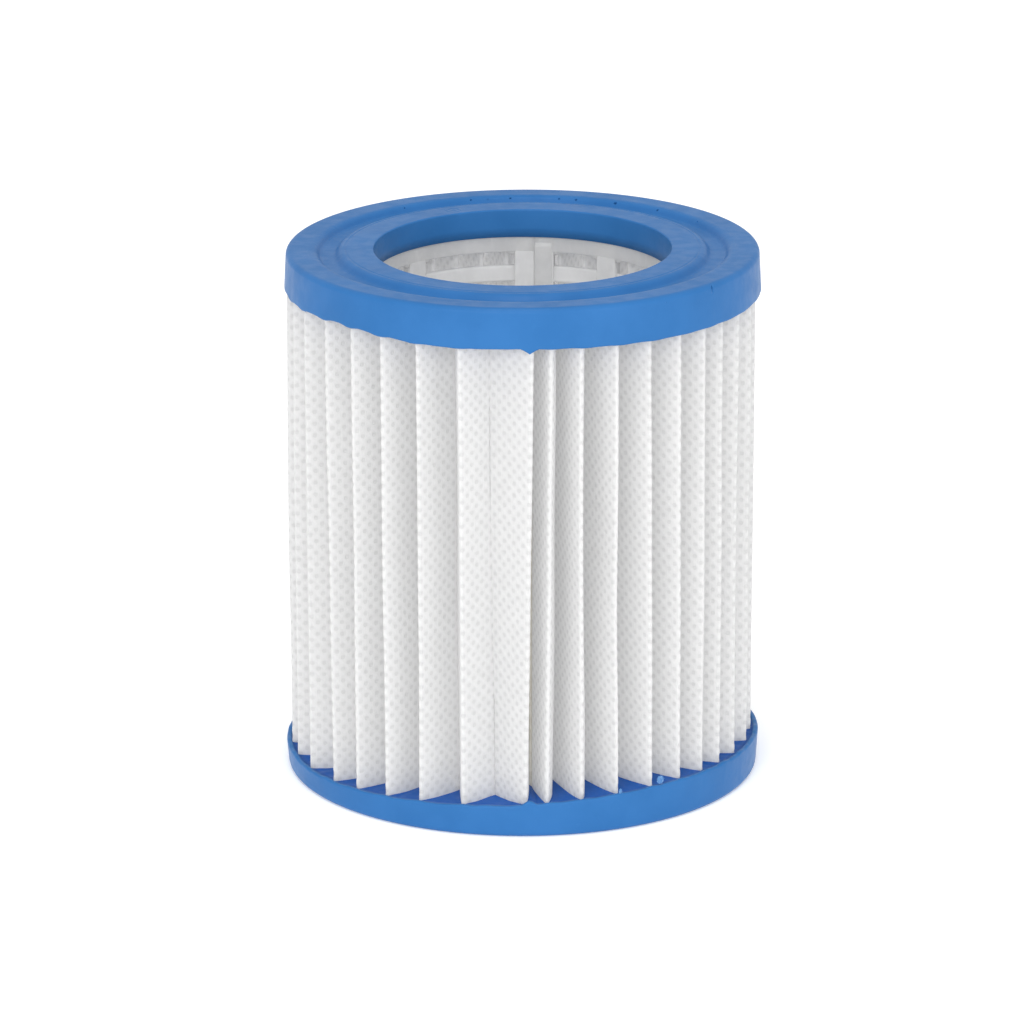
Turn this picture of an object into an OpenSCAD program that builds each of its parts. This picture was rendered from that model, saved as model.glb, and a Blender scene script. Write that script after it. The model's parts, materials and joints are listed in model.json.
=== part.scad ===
// Pleated filter cartridge for a small pool or spa pump.
// One sheet of filter cloth is pleated round a slotted core, and each end is set in a cast cap.
// Z is the axis of the cartridge and points up. The origin is the centre of the lower face.
// The seam of the cloth faces -Y.

/* [Cartridge] */
// Outside diameter of the end caps
cap_d = 90; // [89.5:0.5:100]
// Height over both end caps
total_h = 102; // [80:1:140]
// Diameter of the bore through both caps and the core
bore_d = 56.5; // [50:0.5:58]

/* [End caps] */
// Height of the top cap's side wall
top_cap_h = 8; // [7:0.5:12]
// Height of the bottom cap's side wall
bottom_cap_h = 6.4; // [6:0.2:10]
// How much narrower the cap is at its end face than at its pleat side, on the radius
cap_draft = 0.3; // [0:0.1:0.6]
// Radius of the rounding between the side wall and the end face
edge_r = 1; // [0.5:0.1:1.5]
// Radius of the rounding at the mouth of the bore
mouth_r = 0.4; // [0.2:0.1:0.8]
// Width of the flat land outside the groove
land_w = 4.4; // [3:0.2:5]
// Width of the groove in the end face, over its sloping walls
groove_w = 4.8; // [3:0.2:6]
// Depth of the groove in the end face
groove_depth = 1.3; // [0.5:0.1:2]
// How far each groove wall leans over its depth
groove_slope = 0.8; // [0:0.1:1.2]
// Length of core and cloth that the cap's resin covers beyond its pleat side
potting = 2.6; // [1.5:0.1:4]

/* [Pleated cloth] */
// Radius of the outer folds, to the outside of the cloth
tip_r = 43.8; // [41:0.1:44.2]
// Gap between the core and the inner folds
core_gap = 0.4; // [0.2:0.1:1]
// Thickness of the cloth
cloth_t = 0.5; // [0.3:0.1:0.8]
// Radius of every fold, at the middle of the cloth
fold_r = 0.35; // [0.3:0.05:0.6]
// Pleats on the rest of the circle, besides the uneven ones by the seam
even_pleats = 22; // [18:1:24]
// Radial length over which the two ends of the cloth are bonded
seam_w = 4; // [2:0.5:5]
// Thickness of the bead of adhesive in the seam
bead_t = 0.6; // [0.3:0.1:1]

/* [Core] */
// Thickness of the core's wall
core_wall = 1.7; // [1.5:0.1:2.5]
// How far the core's inner face stands back from the bore of the caps
core_setback = 0.4; // [0.3:0.05:0.6]
// Distance from the cap's end face to the end of the core
core_inset = 5.5; // [4:0.5:6]
// How far the rings stand back from the ribs
ring_relief = 0.35; // [0.1:0.05:0.6]
// Height of a slot in the core
slot_h = 2.9; // [2:0.1:4]
// Height of a ring between two rows of slots
ring_h = 3.1; // [2:0.1:4]
// Height of the plain band over the top row of slots
band_h = 3.1; // [2:0.1:4]
// Number of rows of slots, as far as the core has room for them
slot_rows = 14; // [8:1:15]

/* [Hidden] */

$fn = 96;
cap_r = cap_d / 2;
bore_r = bore_d / 2;
core_bore_r = bore_r + core_setback;
core_r = core_bore_r + core_wall;
valley_r = core_r + core_gap;
core_z0 = core_inset;
core_z1 = total_h - core_inset;
cloth_z0 = bottom_cap_h - potting;
cloth_z1 = total_h - top_cap_h + potting;

// Angles in plan run from the seam's side, -Y, towards +X.
function polar(r, a) = [r * sin(a), -r * cos(a)];

// The pleats on the seam's side were folded unevenly by hand. Their tips are at these angles.
uneven_tips = [-67, -55, -45.5, -36, -26, -14, 1.5, 6.5, 14.5, 23.5, 33, 42, 50.5, 58, 66.5, 77];
// The seam lies in the narrow pleat between the tips before and after it.
tip_before_seam = 6;
seam_a = 2.5;
// Next to the seam two inner folds stay shallow. Each is [angle, radius].
shallow_folds = [[-20, 35.5], [-8.5, 38]];
last_uneven = uneven_tips[len(uneven_tips) - 1];
even_pitch = (360 + uneven_tips[0] - last_uneven) / (even_pleats + 1);
// Tips in order, from the one after the seam round to the one before it
tips = concat([for (i = [tip_before_seam + 1 : len(uneven_tips) - 1]) uneven_tips[i]],
              [for (i = [1 : even_pleats]) last_uneven + i * even_pitch],
              [for (i = [0 : tip_before_seam]) uneven_tips[i] + 360]);

// A fold is [centre, side]: side is -1 at an outer fold and 1 at an inner fold, 0 at a slight bend.
tip_c = tip_r - cloth_t / 2 - fold_r;
valley_c = valley_r + cloth_t / 2 + fold_r;
first_shallow = len(tips) - 1 - len(shallow_folds);
function valley_after(i) =
    i < first_shallow
        ? [polar(valley_c, (tips[i] + tips[i + 1]) / 2), 1]
        : let (f = shallow_folds[i - first_shallow]) [polar(f[1], f[0]), 1];
// The two ends of the cloth lie side by side along the seam, with the bead between them.
end_gap = (bead_t + cloth_t) / 2;
function beside_seam(r, side) = polar(r, seam_a) + side * end_gap * [cos(seam_a), sin(seam_a)];
function seam_end(side) = [beside_seam(valley_r, side), 0];
function seam_bend(side) = [beside_seam(valley_r + seam_w, side), 0];
folds = concat([seam_end(1), seam_bend(1)],
               [for (i = [0 : len(tips) - 1], k = [0, 1])
                   if (k == 0 || i < len(tips) - 1)
                       k == 0 ? [polar(tip_c, tips[i]), -1] : valley_after(i)],
               [seam_bend(-1), seam_end(-1)]);

// Direction of the flat panel from fold i to the next: it touches both folds' circles.
function panel_dir(i) =
    let (d = folds[i + 1][0] - folds[i][0],
         lean = asin((folds[i][1] - folds[i + 1][1]) * fold_r / norm(d)))
    atan2(d[1], d[0]) - lean;
function left_of(a) = [-sin(a), cos(a)];
function turn(a, b) = (b - a + 540) % 360 - 180;
arc_steps = 5;
// Points round fold i on the face that lies off to the left of the cloth's middle
function fold_face(i, off) =
    let (a = panel_dir(max(i - 1, 0)),
         b = panel_dir(min(i, len(folds) - 2)),
         side = folds[i][1])
    side == 0
        ? [folds[i][0] + off * left_of(a + turn(a, b) / 2)]
        : [for (k = [0 : arc_steps])
              folds[i][0] + (side * fold_r + off) * left_of(a + turn(a, b) * k / arc_steps)];

function cloth_face(off) = [for (i = [0 : len(folds) - 1]) each fold_face(i, off)];
function reversed(points) = [for (i = [len(points) - 1 : -1 : 0]) points[i]];

module cloth_plan() {
    polygon(concat(cloth_face(cloth_t / 2), reversed(cloth_face(-cloth_t / 2))));
}

// The bead fills the gap between the two ends, so it has the corners of their facing sides.
module bead_plan() {
    last = len(folds) - 1;
    polygon([for (i = [0, 1, last - 1, last]) fold_face(i, -cloth_t / 2)[0]]);
}

module full_height() {
    translate([0, 0, cloth_z0])
        linear_extrude(cloth_z1 - cloth_z0)
            children();
}

// What a cap's resin is cast round
module potted() {
    full_height() {
        cloth_plan();
        bead_plan();
    }
    translate([0, 0, core_z0])
        cylinder(h = core_z1 - core_z0, r = core_r);
}

// The outline of a cap of height h, with its end face at z = 0 and its pleat side above.
function quarter(c, r, a0, a1, n = 4) =
    [for (k = [0 : n]) c + r * [cos(a0 + (a1 - a0) * k / n), sin(a0 + (a1 - a0) * k / n)]];
face_r = cap_r - cap_draft;
groove_out = face_r - edge_r - land_w;
groove_in = groove_out - groove_w;
function cap_outline(h) = concat(
    quarter([bore_r + mouth_r, mouth_r], mouth_r, 180, 270),
    [[groove_in, 0],
     [groove_in + groove_slope, groove_depth],
     [groove_out - groove_slope, groove_depth],
     [groove_out, 0]],
    quarter([face_r - edge_r, edge_r], edge_r, -90, 0),
    [[cap_r, h], [bore_r, h]]);

module cap_body(h) {
    rotate_extrude()
        polygon(cap_outline(h));
}

// The core joins along two wide ribs. Each half has three more ribs, at these angles from its
// first joint.
joint_a = 175.5;
rib_w = 8.5;
joint_rib_w = 15;
rib_offsets = [49, 100, 150.5];
slot_depth = core_wall * 3;
slot_z1 = core_z1 - band_h;
row_pitch = slot_h + ring_h;
// A short core takes fewer rows, so that a band is left below the last one.
least_band = 1;
rows = min(slot_rows, floor((slot_z1 - core_z0 + ring_h - least_band) / row_pitch));

sector_steps = 6;
module sector(r, a0, a1) {
    polygon([[0, 0], for (k = [0 : sector_steps]) polar(r, a0 + (a1 - a0) * k / sector_steps)]);
}

// Directions of the ribs' sides in one half, from one joint to the other
rib_edges = [joint_rib_w / 2,
             for (a = rib_offsets) each [a - rib_w / 2, a + rib_w / 2],
             180 - joint_rib_w / 2];

module slots(start) {
    for (row = [0 : rows - 1], i = [0 : 2 : len(rib_edges) - 1])
        translate([0, 0, slot_z1 - row * row_pitch - slot_h])
            linear_extrude(slot_h)
                sector(core_r + slot_depth, start + rib_edges[i], start + rib_edges[i + 1]);
}

// Between the ribs the wall's inner face stands back a little.
module reliefs(start) {
    relief_z0 = slot_z1 - rows * row_pitch + ring_h;
    for (i = [0 : 2 : len(rib_edges) - 1])
        translate([0, 0, relief_z0])
            linear_extrude(slot_z1 - relief_z0)
                intersection() {
                    circle(r = core_bore_r + ring_relief);
                    sector(core_r + slot_depth, start + rib_edges[i], start + rib_edges[i + 1]);
                }
}

module core_half(start) {
    difference() {
        translate([0, 0, core_z0])
            rotate([0, 0, start - 90])
                rotate_extrude(angle = 180)
                    translate([core_bore_r, 0])
                        square([core_wall, core_z1 - core_z0]);
        slots(start);
        reliefs(start);
    }
}

module top_end_cap() {
    color("steelblue")
        difference() {
            translate([0, 0, total_h])
                mirror([0, 0, 1])
                    cap_body(top_cap_h);
            potted();
        }
}

module bottom_end_cap() {
    color("steelblue")
        difference() {
            cap_body(bottom_cap_h);
            potted();
        }
}

module pleated_cloth() {
    color("white")
        full_height()
            cloth_plan();
}

module seam_bead() {
    color("ivory")
        full_height()
            bead_plan();
}

module core_half_left() {
    color("gainsboro")
        core_half(joint_a);
}

module core_half_right() {
    color("lightgray")
        core_half(joint_a - 180);
}

top_end_cap();
bottom_end_cap();
pleated_cloth();
seam_bead();
core_half_left();
core_half_right();
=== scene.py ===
"""Pleated filter cartridge: cast blue end caps, embossed cloth in uneven pleats, slotted core."""
import json
from math import cos, pi, radians, sin

import bpy
import numpy as np
from mathutils import Matrix, Vector


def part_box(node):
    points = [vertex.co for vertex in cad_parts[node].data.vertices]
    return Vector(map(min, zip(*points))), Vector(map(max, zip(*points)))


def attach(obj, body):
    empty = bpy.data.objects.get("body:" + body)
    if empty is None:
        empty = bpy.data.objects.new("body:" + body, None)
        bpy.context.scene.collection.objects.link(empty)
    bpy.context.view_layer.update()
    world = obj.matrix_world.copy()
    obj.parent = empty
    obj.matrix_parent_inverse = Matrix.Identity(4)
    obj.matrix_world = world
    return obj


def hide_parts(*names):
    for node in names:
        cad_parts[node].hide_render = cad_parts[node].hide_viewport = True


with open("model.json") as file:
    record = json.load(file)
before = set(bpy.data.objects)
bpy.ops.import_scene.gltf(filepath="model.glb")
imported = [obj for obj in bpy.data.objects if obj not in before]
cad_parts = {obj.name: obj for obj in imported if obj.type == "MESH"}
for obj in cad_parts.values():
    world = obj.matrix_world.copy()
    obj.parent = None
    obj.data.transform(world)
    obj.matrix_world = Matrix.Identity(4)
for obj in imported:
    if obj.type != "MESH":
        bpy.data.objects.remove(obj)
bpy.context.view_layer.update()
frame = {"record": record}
record = frame["record"]
MM = 0.001


# ------------------------------------------------------------------ sizes, in millimetres
def box_mm(node):
    """Low and high corners of a node's box."""
    lo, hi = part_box(node)
    return np.array(lo) / MM, np.array(hi) / MM


top_hi = box_mm("top_end_cap")[1]
cloth_hi = box_mm("pleated_cloth")[1]
core_lo, core_hi = box_mm("core_half_right")

BORE_R = next(m["dims"]["r_mm"] for m in record["mounts"] if m["name"] == "top_bore")
CAP_R = top_hi[0]
TOP_Z = top_hi[2]
CORE_R = core_hi[0]
CORE_Z0, CORE_Z1 = core_lo[2], core_hi[2]
CLOTH_Z1 = cloth_hi[2]


def polar(r, a):
    """Point in plan. Angles run from the seam's side, -Y, towards +X, in degrees."""
    a = np.radians(a)
    return np.stack([r * np.sin(a), -r * np.cos(a)], -1)


def turn_degrees(a, b):
    """The turn from a to b, within -180 to 180."""
    return (b - a + 540) % 360 - 180


def bump_shape(x):
    """1 at x = 0, falling smoothly to 0 at x = 1."""
    x = np.clip(np.abs(x), 0, 1)
    return (1 - x * x) ** 2


def waves(a, seed, low, high):
    """A smooth closed random curve over the angle a in degrees, within about -1 to 1."""
    count = 9
    rng = np.random.default_rng(seed)
    out = np.zeros_like(np.asarray(a, float))
    for n in np.linspace(low, high, count).astype(int):
        out += rng.normal() * np.sin(np.radians(a) * n + rng.uniform(0, 2 * pi))
    return out / (1.5 * count**0.5)


# ------------------------------------------------------------------ meshes
def new_mesh(name, verts, faces):
    mesh = bpy.data.meshes.new(name)
    mesh.from_pydata((np.asarray(verts, float) * MM).tolist(), [], faces)
    mesh.update()
    mesh.polygons.foreach_set("use_smooth", np.ones(len(mesh.polygons), bool))
    obj = bpy.data.objects.new(name, mesh)
    bpy.context.scene.collection.objects.link(obj)
    return obj


def grid_faces(rows, columns, wrap_rows, wrap_columns, start=0):
    """Quads over a rows x columns grid of vertices that are stored row by row."""
    i = np.arange(rows if wrap_rows else rows - 1)
    j = np.arange(columns if wrap_columns else columns - 1)
    i, j = np.meshgrid(i, j, indexing="ij")
    i2, j2 = (i + 1) % rows, (j + 1) % columns
    quads = np.stack([i * columns + j, i * columns + j2, i2 * columns + j2, i2 * columns + j], -1)
    return (quads.reshape(-1, 4) + start).tolist()


def arc(r, z, radius, a0, a1, n):
    """n points of an arc round (r, z), from angle a0 to a1."""
    a = np.radians(np.linspace(a0, a1, n))
    return [(r + radius * np.cos(t), z + radius * np.sin(t)) for t in a]


def dense(points, step, fine, fine_radii):
    """The same outline with no stretch longer than step, or than fine close to certain radii."""
    out = []
    for p, q in zip(points[:-1], points[1:]):
        near = any(min(abs(p[0] - r), abs(q[0] - r)) < 0.5 for r in fine_radii)
        n = max(1, int(np.ceil(np.hypot(q[0] - p[0], q[1] - p[1]) / (fine if near else step))))
        out += [(p[0] + (q[0] - p[0]) * k / n, p[1] + (q[1] - p[1]) * k / n) for k in range(n)]
    return out + [points[-1]]


# ------------------------------------------------------------------ materials
class Nodes:
    """Short ways to add shader nodes."""

    def __init__(self, name):
        self.material = bpy.data.materials.new(name)
        self.material.use_nodes = True
        self.tree = self.material.node_tree
        self.tree.nodes.clear()

    def add(self, kind, settings=None, **inputs):
        node = self.tree.nodes.new(kind)
        for key, value in (settings or {}).items():
            setattr(node, key, value)
        for key, value in inputs.items():
            self.put(node.inputs[key.replace("_", " ")], value)
        return node

    def put(self, socket, value):
        if isinstance(value, bpy.types.NodeSocket):
            self.tree.links.new(value, socket)
        else:
            socket.default_value = value

    def math(self, operation, *values, clamp=False):
        node = self.tree.nodes.new("ShaderNodeMath")
        node.operation = operation
        node.use_clamp = clamp
        for socket, value in zip(node.inputs, values):
            self.put(socket, value)
        return node.outputs[0]

    def ramp(self, value, lo, hi, out_lo=0.0, out_hi=1.0):
        node = self.add("ShaderNodeMapRange", {"interpolation_type": "SMOOTHSTEP"})
        for socket, v in zip(node.inputs, (value, lo, hi, out_lo, out_hi)):
            self.put(socket, v)
        return node.outputs[0]

    def noise(self, where, scale, detail=2.0, rough=0.5):
        node = self.add("ShaderNodeTexNoise", Scale=scale, Detail=detail, Roughness=rough)
        self.put(node.inputs["Vector"], where)
        return node.outputs["Fac"]

    def blend(self, fac, a, b):
        node = self.add("ShaderNodeMix", {"data_type": "RGBA"})
        self.put(node.inputs[0], fac)
        self.put(node.inputs[6], a)
        self.put(node.inputs[7], b)
        return node.outputs[2]

    def bump(self, height, distance, strength=1.0, normal=None):
        node = self.add("ShaderNodeBump", Strength=strength, Distance=distance, Height=height)
        if normal is not None:
            self.put(node.inputs["Normal"], normal)
        return node.outputs[0]

    def principled(self, **inputs):
        return self.add("ShaderNodeBsdfPrincipled", **inputs)

    def half_clear(self, shader, base, bump, painted_glow):
        """Half of the light passes through, and a small emission paints light into the shade of the folds
        and hollows.
        """
        through = self.add("ShaderNodeBsdfTranslucent", Color=base, Normal=bump)
        mix = self.add("ShaderNodeMixShader")
        mix.inputs[0].default_value = 0.5
        self.emit(shader, painted_glow)
        self.put(mix.inputs[1], shader.outputs[0])
        self.put(mix.inputs[2], through.outputs[0])
        return self.output(mix.outputs[0])

    def emit(self, shader, strength):
        shader.inputs["Emission Color"].default_value = (1, 1, 1, 1)
        shader.inputs["Emission Strength"].default_value = strength

    def output(self, shader):
        self.add("ShaderNodeOutputMaterial", Surface=shader)
        return self.material


def place(n):
    """Position in millimetres, and its radius from the axis."""
    position = n.add("ShaderNodeNewGeometry").outputs["Position"]
    scaled = n.add("ShaderNodeVectorMath", {"operation": "SCALE"}, Scale=1 / MM)
    n.put(scaled.inputs[0], position)
    xyz = n.add("ShaderNodeSeparateXYZ", Vector=scaled.outputs[0])
    x, y, z = xyz.outputs
    r = n.math("SQRT", n.math("ADD", n.math("MULTIPLY", x, x), n.math("MULTIPLY", y, y)))
    return scaled.outputs[0], x, y, z, r


def resin_material():
    """Satin cast polyurethane: slightly cloudy blue, faint lathe rings on the end faces, a painted sheen
    on those faces and painted shade among the pleats.
    """
    n = Nodes("cap_resin")
    p, x, y, z, r = place(n)
    cloud = n.noise(p, 0.09, 3.0, 0.55)
    grain = n.noise(p, 1.6, 3.0, 0.6)
    base = n.blend(n.ramp(cloud, 0.3, 0.7), (0.026, 0.138, 0.370, 1), (0.031, 0.152, 0.400, 1))
    base = n.blend(n.ramp(grain, 0.58, 0.8, 0.0, 0.12), base, (0.06, 0.22, 0.50, 1))
    rough = n.ramp(n.noise(p, 0.35, 2.0), 0.3, 0.7, 0.33, 0.43)
    normal_z = n.add("ShaderNodeSeparateXYZ",
                     Vector=n.add("ShaderNodeNewGeometry").outputs["Normal"]).outputs[2]
    level = n.ramp(n.math("ABSOLUTE", normal_z), 0.97, 0.999)
    mid_z = n.math("ABSOLUTE", n.math("SUBTRACT", z, float(TOP_Z / 2)))
    level = n.math("MULTIPLY", level, n.math("GREATER_THAN", mid_z, float(TOP_Z / 2 - 2)))
    streak = n.add("ShaderNodeCombineXYZ", X=n.math("MULTIPLY", r, 2.6),
                   Y=n.math("MULTIPLY", n.math("ARCTAN2", x, y), 0.9))
    rings = n.math("MULTIPLY", n.noise(streak.outputs[0], 1.0, 3.0, 0.65), level)
    height = n.math("ADD", n.math("MULTIPLY", rings, 0.9),
                    n.math("MULTIPLY", n.noise(p, 3.2, 3.0, 0.6), 0.35))
    height = n.math("ADD", height, n.math("MULTIPLY", n.noise(p, 0.45, 2.0, 0.5), 1.2))
    mark_r, mark_a, mark_size = SWIRL_MARK
    centre = polar(mark_r, mark_a)
    dx = n.math("SUBTRACT", x, float(centre[0]))
    dy = n.math("SUBTRACT", y, float(centre[1]))
    d = n.math("SQRT", n.math("ADD", n.math("MULTIPLY", dx, dx), n.math("MULTIPLY", dy, dy)))
    swirl = n.math("SINE", n.math("MULTIPLY", d, 2 * pi / SWIRL_PITCH))
    swirl = n.math("MULTIPLY", swirl, n.ramp(d, mark_size * 0.8, mark_size, 1.0, 0.0))
    height = n.math("ADD", height, n.math("MULTIPLY", swirl, 1.2))
    # Painted sheen: a lighter, greyer blue streaked along the lathe rings on the level end faces, standing
    # in for their reflection.
    painted_sheen = n.math("MULTIPLY", level, n.ramp(rings, 0.45, 0.7, 0.0, 0.07))
    base = n.blend(painted_sheen, base, (0.08, 0.25, 0.46, 1))
    # Painted shade: cap faces among the pleats, away from both end faces, get a darker, more saturated
    # blue for the shade there.
    inside = n.math("LESS_THAN", r, float(CAP_R - 0.5))
    inside = n.math("MULTIPLY", inside, n.math("GREATER_THAN", r, float(CORE_R + 0.2)))
    inside = n.math("MULTIPLY", inside, n.math("LESS_THAN", mid_z, float(TOP_Z / 2 - 4)))
    base = n.blend(inside, base, (0.006, 0.085, 0.36, 1))
    bump = n.bump(height, 0.00004, 0.8)
    shader = n.principled(Base_Color=base, Roughness=rough, Normal=bump, IOR=1.5)
    shader.inputs["Specular IOR Level"].default_value = 0.12
    return n.output(shader.outputs[0])


# Embossed dots stand in a staggered lattice, two of these pitches apart along a row
DOT_PITCH = 1.15


def cloth_material():
    """Spun-bonded polyester with a staggered lattice of embossed dots and fine fibres."""
    n = Nodes("filter_cloth")
    flat = n.add("ShaderNodeAttribute", {"attribute_name": "flat"}).outputs["Vector"]
    u, v, _ = n.add("ShaderNodeSeparateXYZ", Vector=flat).outputs
    p, *_ = place(n)
    wobble = n.math("MULTIPLY", n.math("SUBTRACT", n.noise(flat, 0.5, 2.0), 0.5), 0.35)
    cu = n.math("COSINE", n.math("MULTIPLY", n.math("ADD", u, wobble), pi / DOT_PITCH))
    cv = n.math("COSINE", n.math("MULTIPLY", v, pi / DOT_PITCH))
    lattice = n.math("MULTIPLY", cu, cv)
    uneven = n.math("MULTIPLY", n.math("SUBTRACT", n.noise(flat, 2.2, 2.0), 0.5), 0.25)
    dots = n.ramp(n.math("ADD", lattice, uneven), 0.28, 0.70)
    across = n.add("ShaderNodeMapping", {"vector_type": "POINT"})
    n.put(across.inputs["Vector"], flat)
    across.inputs["Rotation"].default_value = (0, 0, radians(38))
    across.inputs["Scale"].default_value = (3.6, 0.55, 1)
    back = n.add("ShaderNodeMapping", {"vector_type": "POINT"})
    n.put(back.inputs["Vector"], flat)
    back.inputs["Rotation"].default_value = (0, 0, radians(-41))
    back.inputs["Scale"].default_value = (3.9, 0.5, 1)
    fibres = n.math("ADD", n.noise(across.outputs[0], 1.0, 3.0, 0.6),
                    n.noise(back.outputs[0], 1.0, 3.0, 0.6))
    blotch = n.noise(flat, 0.28, 3.0, 0.6)
    base = n.blend(n.ramp(blotch, 0.3, 0.7), (0.73, 0.73, 0.73, 1), (0.76, 0.76, 0.76, 1))
    ridges = 0.0
    for side, strength in ((1, 0.6), (-1, 0.35)):
        slant = n.math("ADD", n.math("ADD", u, wobble), n.math("MULTIPLY", v, float(side)))
        wave = n.math("MULTIPLY", n.math("COSINE", n.math("MULTIPLY", slant, pi / DOT_PITCH)), -1.0)
        ridges = n.math("ADD", ridges, n.ramp(wave, 0.35, 0.98, 0.0, strength))
    ridges = n.math("MULTIPLY", ridges, n.ramp(n.noise(flat, 0.9, 2.0), 0.3, 0.65, 0.25, 1.0))
    base = n.blend(n.ramp(fibres, 0.85, 1.18, 0.0, 0.45), base, (0.83, 0.83, 0.83, 1))
    base = n.blend(n.math("MULTIPLY", ridges, 0.7, clamp=True), base, (0.84, 0.84, 0.84, 1))
    base = n.blend(n.math("MULTIPLY", dots, 0.50), base, (0.61, 0.61, 0.61, 1))
    height = n.math("SUBTRACT", n.math("MULTIPLY", fibres, 0.4), n.math("MULTIPLY", dots, 1.0))
    height = n.math("ADD", height, n.math("MULTIPLY", ridges, 0.5))
    height = n.math("ADD", height, n.math("MULTIPLY", lattice, -0.30))
    bump = n.bump(height, 0.00006, 0.8)
    rough = n.ramp(fibres, 0.7, 1.3, 0.72, 0.9)
    shader = n.principled(Base_Color=base, Roughness=rough, Normal=bump)
    shader.inputs["Specular IOR Level"].default_value = 0.25
    # Painted light: the cloth glows a little, which lifts the shade deep in the pleats.
    return n.half_clear(shader, base, bump, 0.21)


def core_material():
    """Natural moulded polypropylene: milky, satin, with faint flow marks."""
    n = Nodes("core_plastic")
    p, x, y, z, r = place(n)
    cloud = n.noise(p, 0.16, 3.0, 0.6)
    stretched = n.add("ShaderNodeCombineXYZ", X=n.math("MULTIPLY", n.math("ARCTAN2", x, y), 22.0),
                      Y=n.math("MULTIPLY", z, 0.25))
    flow = n.noise(stretched.outputs[0], 1.0, 2.0)
    base = n.blend(n.ramp(cloud, 0.3, 0.7), (0.72, 0.72, 0.72, 1), (0.79, 0.79, 0.79, 1))
    base = n.blend(n.ramp(flow, 0.5, 0.75, 0.0, 0.35), base, (0.86, 0.86, 0.86, 1))
    rough = n.ramp(n.noise(p, 0.8, 2.0), 0.3, 0.7, 0.38, 0.52)
    height = n.math("ADD", n.math("MULTIPLY", n.noise(p, 2.4, 3.0), 0.4), flow)
    bump = n.bump(height, 0.00004, 0.7)
    shader = n.principled(Base_Color=base, Roughness=rough, Normal=bump)
    # Painted light: the core glows a little, which lifts the shade inside the tube.
    return n.half_clear(shader, base, bump, 0.13)


def adhesive_material():
    """Set adhesive: a warm white with a soft shine."""
    n = Nodes("seam_adhesive")
    p, *_ = place(n)
    base = n.blend(n.ramp(n.noise(p, 0.7, 3.0), 0.3, 0.7),
                   (0.70, 0.67, 0.58, 1), (0.80, 0.78, 0.70, 1))
    rough = n.ramp(n.noise(p, 1.3, 2.0), 0.3, 0.7, 0.32, 0.48)
    bump = n.bump(n.noise(p, 1.1, 3.0), 0.00015, 0.6)
    shader = n.principled(Base_Color=base, Roughness=rough, Normal=bump)
    return n.output(shader.outputs[0])


def film_material():
    """Thin smear of resin, pale and half clear."""
    n = Nodes("resin_film")
    p, *_ = place(n)
    base = n.blend(n.ramp(n.noise(p, 1.5, 3.0), 0.3, 0.7),
                   (0.10, 0.32, 0.68, 1), (0.22, 0.46, 0.76, 1))
    bump = n.bump(n.noise(p, 2.0, 3.0), 0.00002, 0.4)
    shader = n.principled(Base_Color=base, Roughness=n.ramp(n.noise(p, 2.0), 0.3, 0.7, 0.25, 0.4),
                          Normal=bump)
    shader.inputs["Alpha"].default_value = 0.32
    return n.output(shader.outputs[0])


def floor_material():
    """A plain white studio floor."""
    n = Nodes("studio_floor")
    p, *_ = place(n)
    base = n.blend(n.ramp(n.noise(p, 0.004, 3.0), 0.3, 0.7),
                   (0.90, 0.90, 0.90, 1), (0.92, 0.92, 0.92, 1))
    bump = n.bump(n.noise(p, 0.6, 2.0), 0.0001, 0.1)
    shader = n.principled(Base_Color=base, Roughness=n.ramp(n.noise(p, 0.02), 0.3, 0.7, 0.7, 0.8),
                          Normal=bump)
    shader.inputs["Specular IOR Level"].default_value = 0.1
    n.emit(shader, 0.26)
    return n.output(shader.outputs[0])


# ------------------------------------------------------------------ pleats
CLOTH_T = 0.4
FOLD_R = 0.2
TIP_R = cloth_hi[0] + 0.05
CORE_GAP = 0.4
# The uneven pleats on the seam's side, as angles at mid height, and how much each leans
UNEVEN_TIPS = [-66, -55, -45.5, -36, -26, -15, 1.5, 6.5, 14.5, 23.5, 33, 42, 50.5, 58, 66.5, 77]
TIP_LEAN = [1, 2, 1, 1, 0.5, 1, -1.5, -1, 0.5, 0.5, 1, 1, 0.5, 0.5, 0.5, 1]
TIP_BEFORE_SEAM = 6
EVEN_PLEATS = 22
SEAM_A = 2.5
SEAM_W = 4
BEAD_T = 0.6
# The two shallow inner folds before the seam, as (angle, radius), and how much both lean
SHALLOW_FOLDS = [(-20, 35.5), (-8.5, 38)]
SHALLOW_LEAN = 1.5
CLOTH_FOOT_Z = 2.0

even_pitch = (360 + UNEVEN_TIPS[0] - UNEVEN_TIPS[-1]) / (EVEN_PLEATS + 1)
fold_noise = np.random.default_rng(11)
uneven = list(zip(UNEVEN_TIPS, TIP_LEAN))
tips = uneven[TIP_BEFORE_SEAM + 1:]
tips += [(UNEVEN_TIPS[-1] + i * even_pitch + fold_noise.normal(0, 0.35), fold_noise.normal(0, 0.7))
         for i in range(1, EVEN_PLEATS + 1)]
tips += [(a + 360, lean) for a, lean in uneven[:TIP_BEFORE_SEAM + 1]]
tip_c = TIP_R - CLOTH_T / 2 - FOLD_R
valley_c = CORE_R + CORE_GAP + CLOTH_T / 2 + FOLD_R
LEVEL_STEP = DOT_PITCH / 2
levels = np.arange(CLOTH_FOOT_Z, CLOTH_Z1 + 0.01, LEVEL_STEP)
rise = (levels - levels.mean()) / (levels[-1] - levels[0])


def meander(rng, size):
    """A slow sideways drift of one fold over its height."""
    drift = sum(rng.normal() / k * np.sin(2 * pi * (k * rise * 0.8 + rng.uniform())) for k in (1, 2, 3))
    return size * drift


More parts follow.
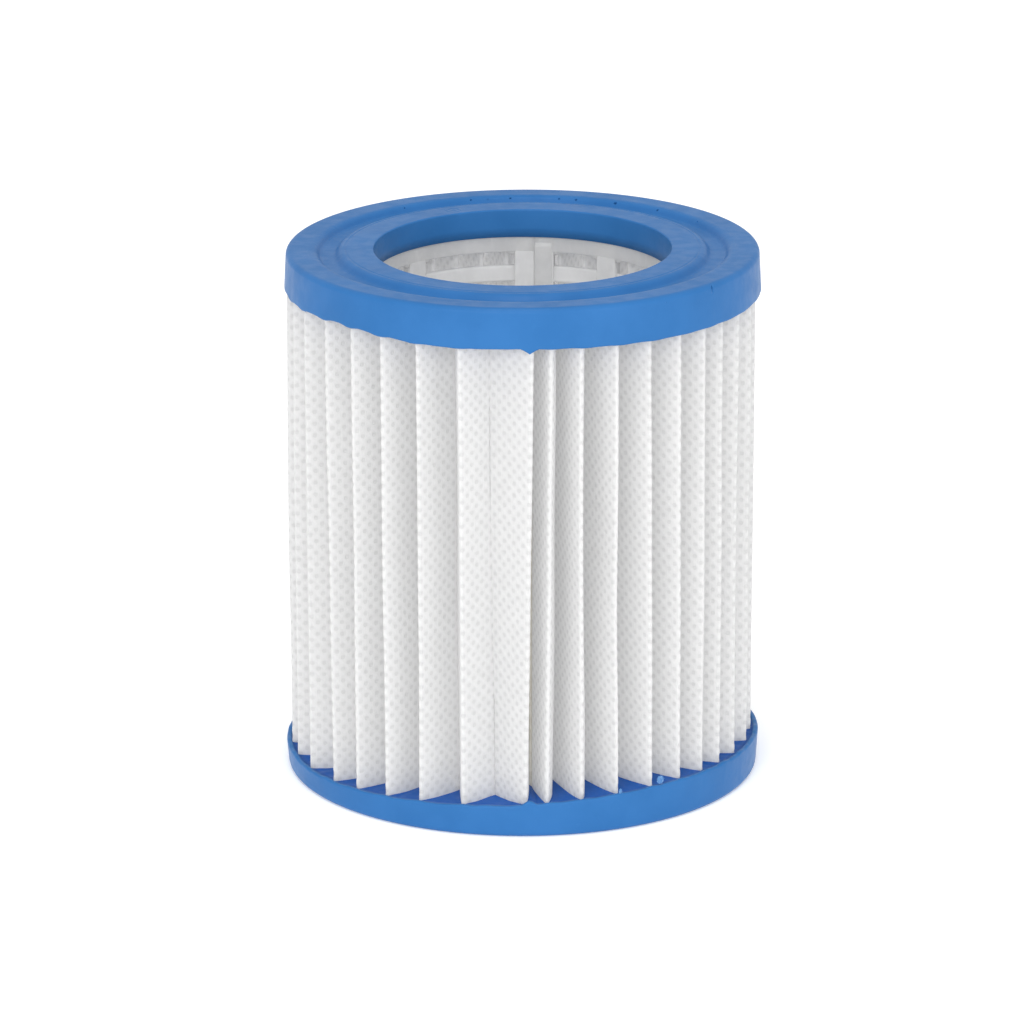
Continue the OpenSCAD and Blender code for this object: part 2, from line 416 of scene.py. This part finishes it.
def fold_tables():
    """Centre of every fold at every level, and the side its circle lies on."""
    rng = np.random.default_rng(5)
    centres, sides = [], []
    last = len(tips) - 1
    first_shallow = last - len(SHALLOW_FOLDS)
    half_gap = (BEAD_T + CLOTH_T) / 2
    along = np.array([cos(radians(SEAM_A)), sin(radians(SEAM_A))])

    def by_seam(r, side):
        point = polar(r, SEAM_A) + side * half_gap * along
        return np.repeat(point[None], len(levels), 0)

    centres += [by_seam(CORE_R + CORE_GAP, 1), by_seam(CORE_R + CORE_GAP + SEAM_W, 1)]
    sides += [0, 0]
    for i, (a, lean) in enumerate(tips):
        tip_angle = a - lean * rise + meander(rng, 0.10)
        tip_r = tip_c + meander(rng, 0.06) - abs(rng.normal(0, 0.05))
        tip_r += (0.9 if sin(radians(a)) < 0 else 0.3) * sin(radians(a)) ** 4
        centres.append(polar(tip_r, tip_angle))
        sides.append(-1)
        if i < last:
            b, next_lean = tips[i + 1]
            if i < first_shallow:
                r = valley_c + abs(rng.normal(0, 0.12))
                angle = (a + b) / 2 - (lean + next_lean) / 2 * rise + meander(rng, 0.12)
            else:
                shallow_a, shallow_r = SHALLOW_FOLDS[i - first_shallow]
                r = shallow_r + meander(rng, 0.12)
                angle = shallow_a - SHALLOW_LEAN * rise + meander(rng, 0.12)
            centres.append(polar(r, angle))
            sides.append(1)
    centres += [by_seam(CORE_R + CORE_GAP + SEAM_W, -1), by_seam(CORE_R + CORE_GAP, -1)]
    sides += [0, 0]
    return np.stack(centres, 1), np.array(sides, float)


def left_of(a):
    """Unit vector to the left of the heading a, in radians."""
    return np.stack([-np.sin(a), np.cos(a)], -1)


def cloth_line():
    """Middle line of the cloth at every level, and how sharply it is folded at each point."""
    c, side = fold_tables()
    rng = np.random.default_rng(8)
    d = c[:, 1:] - c[:, :-1]
    length = np.hypot(d[..., 0], d[..., 1])
    lean = np.arcsin((side[:-1] - side[1:]) * FOLD_R / length)
    heading = np.arctan2(d[..., 1], d[..., 0]) - lean
    count = len(side)
    steps = 4
    stiff_from = count - 2 - 2 * (len(SHALLOW_FOLDS) + 1)
    out, folded = [], []
    for i in range(count):
        a, b = heading[:, max(i - 1, 0)], heading[:, min(i, count - 2)]
        if side[i] == 0:
            out.append(c[:, i])
            folded.append(0.0)
        else:
            turned = (b - a + pi) % (2 * pi) - pi
            for k in range(steps + 1):
                out.append(c[:, i] + side[i] * FOLD_R * left_of(a + turned * k / steps))
                folded.append(1.0 if side[i] < 0 else 0.5)
        if i == count - 1:
            break
        normal = left_of(heading[:, i])
        start = c[:, i] + side[i] * FOLD_R * normal
        end = c[:, i + 1] + side[i + 1] * FOLD_R * normal
        swell = 0.34 + 0.2 * rng.random()
        if 0 in (side[i], side[i + 1]):
            swell = 0.0
        elif i >= stiff_from:
            swell = 0.05
        wave = meander(rng, 0.10)
        for t in (0.06, 0.2, 0.36, 0.52, 0.68, 0.82, 0.94):
            to_tip = t if side[i + 1] < 0 else 1 - t
            push = swell * 6 * to_tip**2 * (1 - to_tip) + wave * 4 * t * (1 - t)
            out.append(start + (end - start) * t - np.reshape(push, (-1, 1)) * normal)
            folded.append(0.0)
    return np.stack(out, 1), np.array(folded)


def make_cloth():
    """The pleated sheet, and its length laid flat."""
    line, folded = cloth_line()
    count = line.shape[1]
    step = np.gradient(line, axis=1)
    tangent = step / np.linalg.norm(step, axis=2, keepdims=True)
    normal = np.stack([-tangent[..., 1], tangent[..., 0]], -1)
    middle = line[len(levels) // 2]
    u = np.concatenate([[0], np.cumsum(np.hypot(*np.diff(middle, axis=0).T))])
    dents = np.cos(u * pi / DOT_PITCH)[None] * np.cos(levels * pi / DOT_PITCH)[:, None]
    dents = 0.03 * folded[None] * np.clip(dents * 3, -1, 1)
    faces_xy = [line + s * normal * CLOTH_T / 2 + dents[..., None] * normal for s in (-1, 1)]
    loop = np.concatenate([faces_xy[0], faces_xy[1][:, ::-1]], 1)
    verts = np.concatenate([loop, np.repeat(levels[:, None, None], loop.shape[1], 1)], 2)
    rows, columns = loop.shape[:2]
    faces = grid_faces(rows, columns, False, True)
    strip = np.arange(count - 1)
    for base, flip in ((0, False), ((rows - 1) * columns, True)):
        quads = np.stack([strip, columns - 1 - strip, columns - 2 - strip, strip + 1], -1) + base
        faces += (quads[:, ::-1] if flip else quads).tolist()
    obj = new_mesh("cloth_pleats", verts.reshape(-1, 3), faces)
    flat_u = np.concatenate([u, u[::-1]])
    flat = np.stack([np.tile(flat_u, rows), np.repeat(levels, columns), np.zeros(rows * columns)], 1)
    attribute = obj.data.attributes.new("flat", "FLOAT_VECTOR", "POINT")
    attribute.data.foreach_set("vector", flat.astype(np.float32).ravel())
    return obj, u[-1]


# ------------------------------------------------------------------ end caps
# The cast bore is a little tighter than the mount's radius
BORE_WALL_R = BORE_R - 0.15
MOUTH_R = 0.3
GROOVE_DEPTH = 1.3
GROOVE_OUT_R = 41.0
END_EDGE_R = 1.1
END_R = CAP_R - 0.3
LIP_EDGE_R = 0.35
RIM_W = 0.35
# Heights of the cloth-side lips: (angle, height)
TOP_LIP = [(-180, 94.3), (-110, 94.5), (-70, 94.5), (-58, 94.7), (-48, 95.0), (-38, 94.7),
           (-28, 94.2), (-15, 94.0), (0, 94.3), (30, 94.0), (90, 94.0), (180, 94.3)]
BOTTOM_LIP = [(-180, 5.7), (-120, 5.3), (-85, 4.9), (-65, 4.5), (-50, 4.8), (-25, 5.6), (-12, 6.0),
              (0, 6.3), (15, 7.0), (33, 7.5), (45, 7.5), (72, 7.2), (120, 6.4), (180, 5.7)]
# Small casting flaws on the top cap: (angle, radius, depth below the end face, width, height, sink)
PINHOLES = [
    (-144, 38.8, 0.45, 0.20, 0.20, 0.4), (-165, 38.8, 0.45, 0.22, 0.20, 0.5),
    (-170, 38.7, 0.5, 0.14, 0.14, 0.3), (-176.5, 38.8, 0.45, 0.22, 0.20, 0.5),
    (169.5, 38.8, 0.45, 0.22, 0.18, 0.5), (164.5, 38.8, 0.5, 0.24, 0.20, 0.5),
    (152.5, 38.8, 0.4, 0.34, 0.30, 0.8), (138, 38.8, 0.4, 0.32, 0.24, 0.7),
    (120.5, 38.8, 0.4, 0.20, 0.18, 0.4), (51.5, 44.6, 0.8, 0.26, 0.60, 0.8),
    (36, 44.8, 1.2, 0.18, 0.18, 0.3), (-50.5, 38.4, 0.9, 0.20, 0.18, 0.4),
    (46.5, 38.4, 0.9, 0.30, 0.25, 0.25),
]
# The small swirl in the top end face: (radius, angle, size)
SWIRL_MARK = (31, -154.5, 2)
SWIRL_PITCH = 1.1
# Thin smears of resin on the bottom cap's rim: (angle, half width, half height, height of centre)
FILMS = [(35, 0.8, 0.85, 8.5), (24, 0.35, 0.7, 7.6)]


def end_face():
    """Outline of an end face as (radius, depth), from the bore's mouth to the side wall."""
    out = arc(BORE_WALL_R + MOUTH_R, MOUTH_R, MOUTH_R, 180, 270, 7)
    out += [(33.25, 0.0), (33.38, 0.07), (33.46, 0.07), (33.58, 0.0)]
    out += [(33.9, 0.03), (34.2, 0.12), (34.5, 0.28), (34.75, 0.50), (35.0, 0.78), (35.2, 1.0),
            (35.4, 1.17), (35.65, 1.27), (35.9, GROOVE_DEPTH)]
    out += [(37.85, GROOVE_DEPTH), (38.1, 1.24), (38.3, 1.1), (38.5, 0.85), (38.7, 0.58),
            (38.95, 0.33), (39.2, 0.17), (39.5, 0.06), (39.9, 0.0)]
    out += [(END_R - END_EDGE_R, 0.0)]
    out += arc(END_R - END_EDGE_R, END_EDGE_R, END_EDGE_R, 270, 360, 9)[1:]
    return out


def lip_height(table, a):
    """Height of a lip at the angles a, as a smooth line through its table."""
    a = (np.asarray(a) + 180) % 360 - 180
    x, y = zip(*table)
    grid = np.linspace(-180, 180, 721)
    rough_line = np.interp(grid, x, y)
    kernel = np.hanning(17)
    padded = np.concatenate([rough_line[-9:-1], rough_line, rough_line[1:9]])
    smooth = np.convolve(padded, kernel / kernel.sum(), "valid")
    return np.interp(a, grid, smooth)


def steps_between_tips(a, size):
    """Resin wicks up at every tip and hangs back between them."""
    out = np.zeros_like(a)
    for tip, _ in tips:
        out += size * bump_shape(turn_degrees(tip, a) / 3.4)
    return out


def make_cap(name, lip, down, step, pinholes, fine_at, rim_h, spread=0.0, tilt=0.0):
    """A closed cast ring.

    down is 1 for the bottom cap and -1 for the top cap, and fine_at lists (angle, half width) where
    the lip needs closer points. rim_h is the height of the thin rim round the cloth's side, spread
    how much wider the wall is, and tilt the slope of the end face along X.
    """
    angles = np.arange(-180, 180, step)
    for hole in pinholes:
        near = np.degrees(np.arange(-2.4 * hole[3], 2.4 * hole[3], 0.06) / hole[1])
        angles = np.concatenate([angles, hole[0] + near])
    for centre, width in fine_at:
        angles = np.concatenate([angles, centre + np.arange(-width, width, 0.12)])
    angles = np.unique(np.round((angles + 180) % 360 - 180, 3))
    lip_z = lip(angles)
    lip_r, end_r = CAP_R + spread, END_R + spread
    depth_of_lip = TOP_Z - lip_z if down < 0 else lip_z
    face = dense(end_face(), 0.35, 0.09, [hole[1] for hole in pinholes])
    rows = []

    def add_row(r, d):
        rows.append((np.broadcast_to(r, angles.shape), np.broadcast_to(d, angles.shape)))

    for share in (1, 0.66, 0.33):
        add_row(BORE_WALL_R, core_end_depth * share)
    for r, d in face:
        add_row(r + spread * (r > GROOVE_OUT_R), d)
    soft = 0.045 * waves(angles, 21, 2, 17) + 0.012 * waves(angles, 22, 30, 90)
    for t in (0.06, 0.14, 0.24, 0.36, 0.5, 0.64, 0.78, 0.9, 0.96):
        d = END_EDGE_R + (depth_of_lip - LIP_EDGE_R - END_EDGE_R) * t
        add_row(end_r + (lip_r - end_r) * t + soft * t, d)
    for t in np.radians([0, 25, 50, 75, 90]):
        add_row(lip_r + soft - LIP_EDGE_R * (1 - np.cos(t)), depth_of_lip - LIP_EDGE_R * (1 - np.sin(t)))
    rim = lip_r - LIP_EDGE_R - RIM_W
    for r, sag in ((rim, 0.0), (rim - 0.12, 0.05), (rim - 0.22, 0.2), (rim - 0.3, rim_h)):
        add_row(r, depth_of_lip - sag)
    for r in (43.0, 41.0, 37.0, 33.0, CORE_R):
        add_row(r, depth_of_lip - rim_h)
    add_row(CORE_R, np.minimum(core_end_depth, depth_of_lip))
    r = np.array([row[0] for row in rows])
    d = np.array([row[1] for row in rows])
    dr, dd = np.gradient(r, axis=0), np.gradient(d, axis=0)
    norm = np.hypot(dr, dd) + 1e-9
    for angle, hole_r, hole_d, width, height, sink in pinholes:
        across = np.radians(turn_degrees(angle, angles))[None] * hole_r / width
        up = np.hypot(r - hole_r, d - hole_d) / height
        inside = sink * np.clip(1.25 * bump_shape(np.hypot(across, up) * 0.8) - 0.1, 0, 1)
        inside[:4] = 0  # The bore wall has no flaws
        r = r - inside * dd / norm
        d = d + inside * dr / norm
    z = TOP_Z - d if down < 0 else d
    xy = polar(r, np.broadcast_to(angles, r.shape))
    z = z + tilt * xy[..., 0] * np.clip((z - CORE_Z1) / core_end_depth, 0, 1)
    verts = np.concatenate([xy, z[..., None]], 2)
    faces = grid_faces(len(rows), len(angles), True, True)
    if down < 0:
        faces = [f[::-1] for f in faces]
    return new_mesh(name, verts.reshape(-1, 3), faces)


core_end_depth = TOP_Z - CORE_Z1
# The drip on the top cap's lip and the peak on the bottom cap's, both by the seam
DRIP_A, DRIP_H = 1.7, 0.95
PEAK_A, PEAK_H = 1.7, 0.65
FINE_AT_DRIP = [(1.9, 3.2)]
FINE_AT_PEAK = [(PEAK_A, 3.0)]


def top_lip(a):
    """Height of the top cap's lower edge. It hangs in steps on the left of the seam."""
    z = lip_height(TOP_LIP, a) + 0.05 * waves(a, 31, 8, 60)
    left = np.clip((-turn_degrees(0, a) - 22) / 8, 0, 1)
    z += 0.12 - steps_between_tips(a, 0.30) * (0.25 + 0.75 * left)
    z -= DRIP_H * np.clip(1 - np.abs(turn_degrees(DRIP_A, a)) / 2.3, 0, 1) ** 1.3
    return z


def bottom_lip(a):
    """Height of the bottom cap's upper edge."""
    z = lip_height(BOTTOM_LIP, a) + 0.07 * waves(a, 41, 6, 70) + 0.04 * waves(a, 42, 60, 160)
    z += steps_between_tips(a, 0.12)
    z += PEAK_H * bump_shape(turn_degrees(PEAK_A, a) / 2.0)
    return z


# ------------------------------------------------------------------ core
CORE_BORE_R = CORE_R - 1.7
RING_R = CORE_BORE_R + 0.35
SLOT_H, RING_H, BAND_H, ROWS = 2.9, 3.1, 3.1, 14
JOINT_A, RIB_W, JOINT_RIB_W = 175.5, 8.5, 15
RIB_OFFSETS = [49, 100, 150.5]
JOINT_GAP = 0.02
RIB_EDGE_R = 0.3
# The raised bar down each half, as an offset from the half's start and half its width
BAR_OFFSET, BAR_HALF_W = 176.5, 3.4
# The ledge along the foot of each ring, and the small gussets under the band
LEDGE_H = 0.6
GUSSET_W, GUSSET_H = 3.2, 0.6


class Shells:
    """Several closed shells gathered into one mesh."""

    def __init__(self):
        self.verts, self.faces = [], []

    def sweep(self, loops):
        """Closed shell through equal loops of 3-D points, capped at the first and the last."""
        loops = np.asarray(loops, float)
        start = len(self.verts)
        n, m = loops.shape[:2]
        self.verts += loops.reshape(-1, 3).tolist()
        self.faces += grid_faces(n, m, False, True, start)
        self.faces += [list(range(start, start + m))[::-1],
                       list(range(start + (n - 1) * m, start + n * m))]

    def ring(self, section, a0, a1, step=2.5):
        """A section of (radius, z) points carried from angle a0 to a1."""
        count = max(2, int(np.ceil(abs(a1 - a0) / step)) + 1)
        loops = []
        for a in np.linspace(a0, a1, count):
            loops.append([[*polar(r, a), z] for r, z in section])
        self.sweep(loops)

    def post(self, plan, heights):
        """A plan outline of (radius, angle) points carried through the heights."""
        self.sweep([[[*polar(r, a), z] for r, a in plan] for z in heights])

    def finish(self, name):
        return new_mesh(name, self.verts, self.faces)


def rounded(r0, r1, z0, z1, f=0.25):
    """Section of a bar with rounded corners."""
    out = []
    corners = ((r1 - f, z0 + f, -90), (r1 - f, z1 - f, 0), (r0 + f, z1 - f, 90), (r0 + f, z0 + f, 180))
    for r, z, a in corners:
        out += arc(r, z, f, a, a + 90, 4)
    return out


def make_core_half(name, start):
    """Half of the slotted tube, from the angle start to half a turn further."""
    shells = Shells()
    slot_z1 = CORE_Z1 - BAND_H
    pitch = SLOT_H + RING_H
    edges = [JOINT_RIB_W / 2]
    for offset in RIB_OFFSETS:
        edges += [offset - RIB_W / 2, offset + RIB_W / 2]
    edges += [180 - JOINT_RIB_W / 2]
    shells.ring(rounded(CORE_BORE_R, CORE_R, slot_z1, CORE_Z1, 0.22),
                start + JOINT_GAP, start + 180 - JOINT_GAP)
    low_z1 = slot_z1 - ROWS * pitch + RING_H
    shells.ring(rounded(CORE_BORE_R, CORE_R, CORE_Z0, low_z1, 0.22),
                start + JOINT_GAP, start + 180 - JOINT_GAP)
    spans = list(zip(edges[0::2], edges[1::2]))
    for row in range(1, ROWS):
        z1 = slot_z1 - row * pitch + RING_H
        z0 = z1 - RING_H
        section = [(CORE_R - 0.2, z0), (CORE_R, z0 + 0.2), (CORE_R, z1 - 0.2), (CORE_R - 0.2, z1),
                   (RING_R + 0.45, z1), (RING_R + 0.2, z1 - 0.12), (RING_R + 0.08, z1 - 0.4),
                   (RING_R + 0.02, z0 + LEDGE_H + 0.25), (RING_R - 0.12, z0 + LEDGE_H + 0.05),
                   (RING_R - 0.2, z0 + LEDGE_H - 0.15), (RING_R - 0.2, z0 + 0.2), (RING_R, z0)]
        for a0, a1 in spans:
            shells.ring(section, start + a0 - 0.6, start + a1 + 0.6)
    ribs = [(JOINT_GAP, edges[0])]
    ribs += list(zip(edges[1:-1:2], edges[2:-1:2]))
    ribs += [(edges[-1], 180 - JOINT_GAP)]
    heights = np.linspace(low_z1 - 0.3, CORE_Z1 - 0.4, 3)
    face_r = CORE_BORE_R + 0.01
    edge_a = np.degrees(RIB_EDGE_R / CORE_BORE_R)
    quarter = [radians(t) for t in (0, 30, 60, 90)]
    edge = [(face_r + RIB_EDGE_R * (1 - sin(t)), edge_a * (1 - cos(t))) for t in quarter]
    for a0, a1 in ribs:
        s, e = start + a0, start + a1
        middle = np.linspace(s + edge_a, e - edge_a, 7)
        plan = [(r, s + turn) for r, turn in edge]
        plan += [(face_r, a) for a in middle[1:-1]]
        plan += [(r, e - turn) for r, turn in edge[::-1]]
        plan += [(CORE_R, a) for a in np.linspace(e, s, 7)]
        shells.post(plan, heights)
    for a0, a1 in spans:
        for edge, way in ((a0, 1), (a1, -1)):
            corner = start + edge
            plan_z = [(corner - way * 0.4, slot_z1 + 0.2), (corner + way * GUSSET_W, slot_z1 + 0.2),
                      (corner + way * GUSSET_W, slot_z1 - 0.02), (corner + way * 1.2, slot_z1 - GUSSET_H),
                      (corner - way * 0.4, slot_z1 - GUSSET_H)]
            loops = [[[*polar(r, a), z] for a, z in plan_z] for r in (CORE_BORE_R + 0.25, CORE_R - 0.1)]
            shells.sweep(loops)
    bar_a = start + BAR_OFFSET
    plan = [(CORE_BORE_R - 0.3 * cos(radians(t)), bar_a + BAR_HALF_W * t / 90) for t in range(-90, 91, 15)]
    plan += [(CORE_BORE_R + 0.3, bar_a + BAR_HALF_W), (CORE_BORE_R + 0.3, bar_a - BAR_HALF_W)]
    shells.post(plan, (CORE_Z0 + 0.4, CORE_Z1 - 2.2, CORE_Z1 - 1.2))
    return shells.finish(name)


# ------------------------------------------------------------------ build
resin = resin_material()
cloth, cloth_length = make_cloth()
cloth.data.materials.append(cloth_material())
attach(cloth, "root")
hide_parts("pleated_cloth")

top_cap = make_cap("cap_top", top_lip, -1, 0.5, PINHOLES, FINE_AT_DRIP, 0.3, tilt=0.005)
bottom_cap = make_cap("cap_bottom", bottom_lip, 1, 0.4, [], FINE_AT_PEAK, 0.45, spread=0.45)
for cap, node in ((top_cap, "top_end_cap"), (bottom_cap, "bottom_end_cap")):
    cap.data.materials.append(resin)
    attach(cap, "root")
    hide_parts(node)

plastic = core_material()
for name, start, node in (("core_left", JOINT_A, "core_half_left"),
                          ("core_right", JOINT_A - 180, "core_half_right")):
    half = make_core_half(name, start)
    half.data.materials.append(plastic)
    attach(half, "root")
    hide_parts(node)


def make_bead():
    """The set bead of adhesive between the two ends of the cloth."""
    rng = np.random.default_rng(17)
    across = np.array([cos(radians(SEAM_A)), sin(radians(SEAM_A))])
    loops = []
    for z in np.linspace(CLOTH_FOOT_Z + 2, CLOTH_Z1 - 0.2, 90):
        inner = CORE_R + CORE_GAP + 0.15 + 0.05 * rng.normal()
        outer = CORE_R + CORE_GAP + SEAM_W + 0.1 * rng.normal()
        half = BEAD_T / 2 - 0.02
        loop = []
        outline = ((inner, -0.8), (inner + 0.15, -1), (outer - 0.2, -1), (outer, -0.5),
                   (outer + 0.06, 0), (outer, 0.5), (outer - 0.2, 1), (inner + 0.15, 1), (inner, 0.8))
        for r, s in outline:
            loop.append([*(polar(r, SEAM_A) + s * half * across), z])
        loops.append(loop)
    shells = Shells()
    shells.sweep(loops)
    return shells.finish("seam_glue")


def make_film(index, angle, half_w, half_h, z):
    """A thin, slightly bent lens of resin that stands on the rim."""
    rows = []
    for i, t in enumerate(np.radians(np.linspace(-90, 90, 15))):
        rows.append([])
        for q in np.radians(np.arange(0, 360, 18)):
            edge = 1 + 0.10 * sin(3 * q + index) * cos(t)
            across = half_w * cos(t) * cos(q) * edge
            r = CAP_R + 0.05 + 0.16 * cos(t) * sin(q)
            rows[i].append([*polar(r, angle + np.degrees(across / CAP_R)), z + half_h * sin(t)])
    shells = Shells()
    shells.sweep(rows[1:-1])
    return shells.finish(f"resin_smear_{index}")


film = film_material()
for index, spec in enumerate(FILMS):
    smear = make_film(index, *spec)
    smear.data.materials.append(film)
    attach(smear, "root")

bead = make_bead()
bead.data.materials.append(adhesive_material())
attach(bead, "root")
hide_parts("seam_bead")

# ------------------------------------------------------------------ studio
FLOOR = 5000
floor_corners = [[-FLOOR, -FLOOR, 0], [FLOOR, -FLOOR, 0], [FLOOR, FLOOR, 0], [-FLOOR, FLOOR, 0]]
floor = new_mesh("studio_floor", floor_corners, [[0, 1, 2, 3]])
floor.data.materials.append(floor_material())


def area_light(name, where, target, size, watts):
    """A rectangular light. where, target and size are in metres."""
    data = bpy.data.lights.new(name, "AREA")
    data.shape = "RECTANGLE"
    data.size, data.size_y = size
    data.energy = watts
    light = bpy.data.objects.new(name, data)
    bpy.context.scene.collection.objects.link(light)
    light.location = where
    light.rotation_euler = (Vector(target) - Vector(where)).to_track_quat("-Z", "Y").to_euler()


MIDDLE = (0, 0, 0.05)
area_light("key_front", (-0.2, -1.6, 0.85), MIDDLE, (1.0, 0.7), 8.5)
area_light("top_front", (-0.05, -0.42, 1.4), MIDDLE, (0.45, 0.45), 4.5)
area_light("key_left", (-0.9, -1.1, 0.5), MIDDLE, (0.7, 0.7), 2.5)
area_light("fill_right", (0.9, -1.0, 0.4), MIDDLE, (0.7, 0.7), 3.2)

world = bpy.data.worlds.new("studio_world")
world.use_nodes = True
world.node_tree.nodes["Background"].inputs["Color"].default_value = (1, 1, 1, 1)
world.node_tree.nodes["Background"].inputs["Strength"].default_value = 0.77
bpy.context.scene.world = world
bpy.context.scene.view_settings.view_transform = "Standard"

# ------------------------------------------------------------------ camera
CAMERA_ELEVATION = radians(17.2)
CAMERA_DISTANCE = 1147
AIM = np.array([0, 0, 50.7])
AIM_LEFT, AIM_DOWN = 2.0, 1.1
fwd = np.array([0, cos(CAMERA_ELEVATION), -sin(CAMERA_ELEVATION)])
right = np.array([1.0, 0, 0])
up = np.cross(right, fwd)
eye = AIM - CAMERA_DISTANCE * fwd
fwd = AIM - AIM_LEFT * right - AIM_DOWN * up - eye
fwd = fwd / np.linalg.norm(fwd)
right = np.cross(fwd, [0, 0, 1])
right = right / np.linalg.norm(right)
up = np.cross(right, fwd)
camera_data = bpy.data.cameras.new("camera")
camera_data.sensor_width = 36
camera_data.lens = 211
camera_data.clip_end = 20
camera = bpy.data.objects.new("camera", camera_data)
bpy.context.scene.collection.objects.link(camera)
turned = Matrix((right, up, -fwd)).transposed().to_4x4()
turned.translation = Vector(eye * MM)
camera.matrix_world = turned
bpy.context.scene.camera = camera
